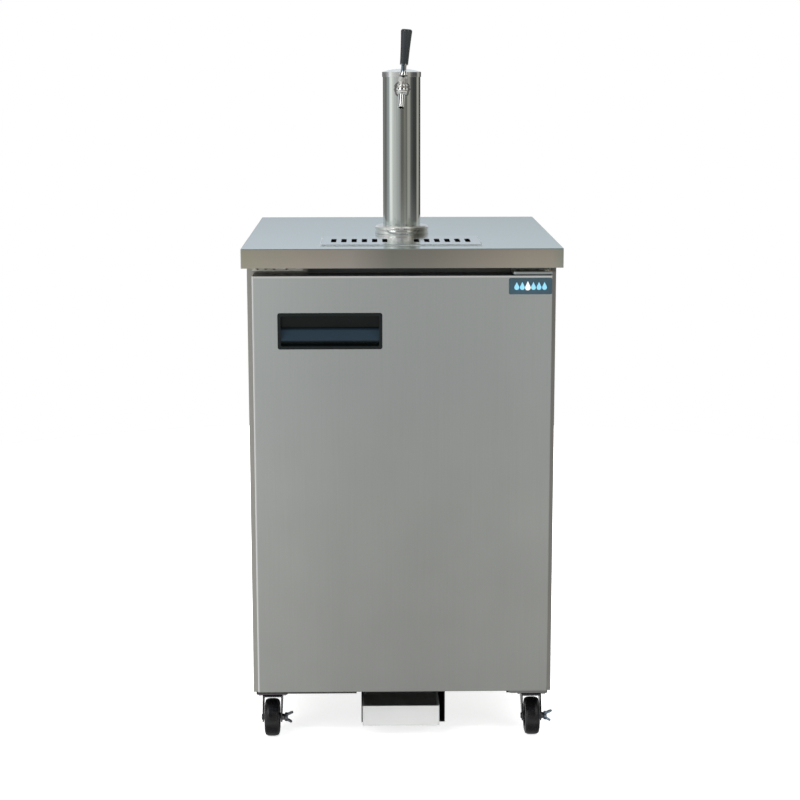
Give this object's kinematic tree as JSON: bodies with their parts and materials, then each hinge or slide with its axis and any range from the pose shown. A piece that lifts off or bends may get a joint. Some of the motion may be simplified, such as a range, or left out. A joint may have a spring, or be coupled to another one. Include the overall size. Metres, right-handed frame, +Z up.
{
  "type": "kegerator",
  "caption": "Direct-draw beer cooler: an insulated stainless cabinet on casters with a hinged door, a worktop, a drip tray and a single-tap tower.",
  "frame": {"origin": "on the floor under the centre of the worktop", "axes": "+X to the user's right as they face the door, +Y towards the back, +Z up"},
  "size_m": [0.6103, 0.7, 1.4102],
  "materials": {
    "outer_shell": "satin",
    "insulation": "matte",
    "inner_liner": "satin",
    "breaker_frame": "satin",
    "keg_floor_plate": "satin",
    "worktop": "satin",
    "worktop_core": "matte",
    "drip_pan": "satin",
    "drip_grid": "satin",
    "tower_flange": "polished",
    "tower_column": "polished",
    "tower_cap": "polished",
    "beer_line": "gloss",
    "faucet_shank": "polished",
    "coupling_nut": "polished",
    "faucet_body": "polished",
    "faucet_bonnet": "polished",
    "faucet_plunger": "polished",
    "tap_lever": "polished",
    "tap_handle": "satin",
    "door_skin": "satin",
    "door_core": "matte",
    "door_caps": "satin",
    "door_liner": "satin",
    "door_gasket": "matte",
    "door_handle": "gloss",
    "badge": "gloss",
    "hinge_bracket_top": "satin",
    "hinge_bracket_bottom": "satin",
    "spare_hinge_plate": "satin",
    "fasteners": "satin",
    "machine_base": "satin",
    "compressor": "satin",
    "condenser_coil": "satin",
    "condenser_fan_motor": "satin",
    "condenser_fan": "satin",
    "refrigerant_lines": "satin",
    "evaporator_cover": "satin",
    "evaporator_coil": "satin",
    "evaporator_fan_motor": "satin",
    "evaporator_fan": "satin",
    "thermostat_plate": "satin",
    "thermostat_knob": "satin",
    "rear_grille": "satin",
    "rear_bushes": "matte",
    "drain_tube": "satin",
    "tray_holder": "satin",
    "drain_tray": "satin",
    "base_rails": "satin",
    "caster_plates": "satin",
    "caster_fork_front_left": "satin",
    "caster_wheel_front_left": "satin",
    "caster_fork_front_right": "satin",
    "caster_wheel_front_right": "satin",
    "caster_fork_rear_left": "satin",
    "caster_wheel_rear_left": "satin",
    "caster_fork_rear_right": "satin",
    "caster_wheel_rear_right": "satin",
    "brake_lever_left": "satin",
    "brake_lever_right": "satin"
  },
  "bodies": {
    "cabinet": {"outer_shell": "outer_shell", "insulation": "insulation", "inner_liner": "inner_liner", "breaker_frame": "breaker_frame", "keg_floor_plate": "keg_floor_plate", "worktop": "worktop", "worktop_core": "worktop_core", "drip_pan": "drip_pan", "tower_flange": "tower_flange", "tower_column": "tower_column", "tower_cap": "tower_cap", "beer_line": "beer_line", "faucet_shank": "faucet_shank", "coupling_nut": "coupling_nut", "faucet_body": "faucet_body", "faucet_bonnet": "faucet_bonnet", "hinge_bracket_top": "hinge_bracket_top", "hinge_bracket_bottom": "hinge_bracket_bottom", "spare_hinge_plate": "spare_hinge_plate", "fasteners": "fasteners", "machine_base": "machine_base", "compressor": "compressor", "condenser_coil": "condenser_coil", "condenser_fan_motor": "condenser_fan_motor", "refrigerant_lines": "refrigerant_lines", "evaporator_cover": "evaporator_cover", "evaporator_coil": "evaporator_coil", "evaporator_fan_motor": "evaporator_fan_motor", "thermostat_plate": "thermostat_plate", "rear_grille": "rear_grille", "rear_bushes": "rear_bushes", "drain_tube": "drain_tube", "tray_holder": "tray_holder", "base_rails": "base_rails", "caster_plates": "caster_plates"},
    "door": {"door_skin": "door_skin", "door_core": "door_core", "door_caps": "door_caps", "door_liner": "door_liner", "door_gasket": "door_gasket", "door_handle": "door_handle", "badge": "badge"},
    "faucet_lever": {"tap_lever": "tap_lever", "tap_handle": "tap_handle"},
    "faucet_valve": {"faucet_plunger": "faucet_plunger"},
    "drip_grid": {"drip_grid": "drip_grid"},
    "drain_tray": {"drain_tray": "drain_tray"},
    "condenser_fan": {"condenser_fan": "condenser_fan"},
    "evaporator_fan": {"evaporator_fan": "evaporator_fan"},
    "thermostat_knob": {"thermostat_knob": "thermostat_knob"},
    "caster_front_left": {"caster_fork_front_left": "caster_fork_front_left"},
    "wheel_front_left": {"caster_wheel_front_left": "caster_wheel_front_left"},
    "brake_left": {"brake_lever_left": "brake_lever_left"},
    "caster_front_right": {"caster_fork_front_right": "caster_fork_front_right"},
    "wheel_front_right": {"caster_wheel_front_right": "caster_wheel_front_right"},
    "brake_right": {"brake_lever_right": "brake_lever_right"},
    "caster_rear_left": {"caster_fork_rear_left": "caster_fork_rear_left"},
    "wheel_rear_left": {"caster_wheel_rear_left": "caster_wheel_rear_left"},
    "caster_rear_right": {"caster_fork_rear_right": "caster_fork_rear_right"},
    "wheel_rear_right": {"caster_wheel_rear_right": "caster_wheel_rear_right"}
  },
  "joints": [
    {"name": "door_hinge", "type": "hinge", "parent": "cabinet", "child": "door", "pos_m": [0.276, -0.308, 0.533], "axis": [0, 0, 1], "range_deg": [0, 110]},
    {"name": "faucet_lever_pull", "type": "hinge", "parent": "cabinet", "child": "faucet_lever", "pos_m": [0.00533, -0.097, 1.30895], "axis": [0.9969, 0, -0.0785], "range_deg": [0, 24]},
    {"name": "faucet_valve_slide", "type": "slide", "parent": "cabinet", "child": "faucet_valve", "axis": [0, 1, 0], "range_m": [0, 0.0065]},
    {"name": "drip_grid_lift", "type": "slide", "parent": "cabinet", "child": "drip_grid", "axis": [0, 0, 1], "range_m": [0, 0.06]},
    {"name": "drain_tray_slide", "type": "slide", "parent": "cabinet", "child": "drain_tray", "axis": [0, -1, 0], "range_m": [0, 0.185]},
    {"name": "condenser_fan_spin", "type": "hinge", "parent": "cabinet", "child": "condenser_fan", "pos_m": [-0.195, 0.265, 0.221], "axis": [1, 0, 0], "continuous": true},
    {"name": "evaporator_fan_spin", "type": "hinge", "parent": "cabinet", "child": "evaporator_fan", "pos_m": [0.04, 0.213, 0.76], "axis": [0, -1, 0], "continuous": true},
    {"name": "thermostat_turn", "type": "hinge", "parent": "cabinet", "child": "thermostat_knob", "pos_m": [-0.18, 0.186, 0.6], "axis": [0, 1, 0], "range_deg": [0, 270]},
    {"name": "swivel_front_left", "type": "hinge", "parent": "cabinet", "child": "caster_front_left", "pos_m": [-0.263, -0.227, 0.08], "axis": [0, 0, 1], "continuous": true},
    {"name": "roll_front_left", "type": "hinge", "parent": "caster_front_left", "child": "wheel_front_left", "pos_m": [-0.263, -0.253, 0.038], "axis": [1, 0, 0], "continuous": true},
    {"name": "brake_left_turn", "type": "hinge", "parent": "caster_front_left", "child": "brake_left", "pos_m": [-0.235, -0.253, 0.038], "axis": [1, 0, 0], "range_deg": [0, 60]},
    {"name": "swivel_front_right", "type": "hinge", "parent": "cabinet", "child": "caster_front_right", "pos_m": [0.263, -0.227, 0.08], "axis": [0, 0, 1], "continuous": true},
    {"name": "roll_front_right", "type": "hinge", "parent": "caster_front_right", "child": "wheel_front_right", "pos_m": [0.263, -0.253, 0.038], "axis": [1, 0, 0], "continuous": true},
    {"name": "brake_right_turn", "type": "hinge", "parent": "caster_front_right", "child": "brake_right", "pos_m": [0.291, -0.253, 0.038], "axis": [1, 0, 0], "range_deg": [0, 60]},
    {"name": "swivel_rear_left", "type": "hinge", "parent": "cabinet", "child": "caster_rear_left", "pos_m": [-0.263, 0.29, 0.08], "axis": [0, 0, 1], "continuous": true},
    {"name": "roll_rear_left", "type": "hinge", "parent": "caster_rear_left", "child": "wheel_rear_left", "pos_m": [-0.263, 0.264, 0.038], "axis": [1, 0, 0], "continuous": true},
    {"name": "swivel_rear_right", "type": "hinge", "parent": "cabinet", "child": "caster_rear_right", "pos_m": [0.263, 0.29, 0.08], "axis": [0, 0, 1], "continuous": true},
    {"name": "roll_rear_right", "type": "hinge", "parent": "caster_rear_right", "child": "wheel_rear_right", "pos_m": [0.263, 0.264, 0.038], "axis": [1, 0, 0], "continuous": true}
  ],
  "couplings": [
    {"joint": "faucet_valve_slide", "follows": "faucet_lever_pull", "m_per_rad": 0.015342}
  ]
}
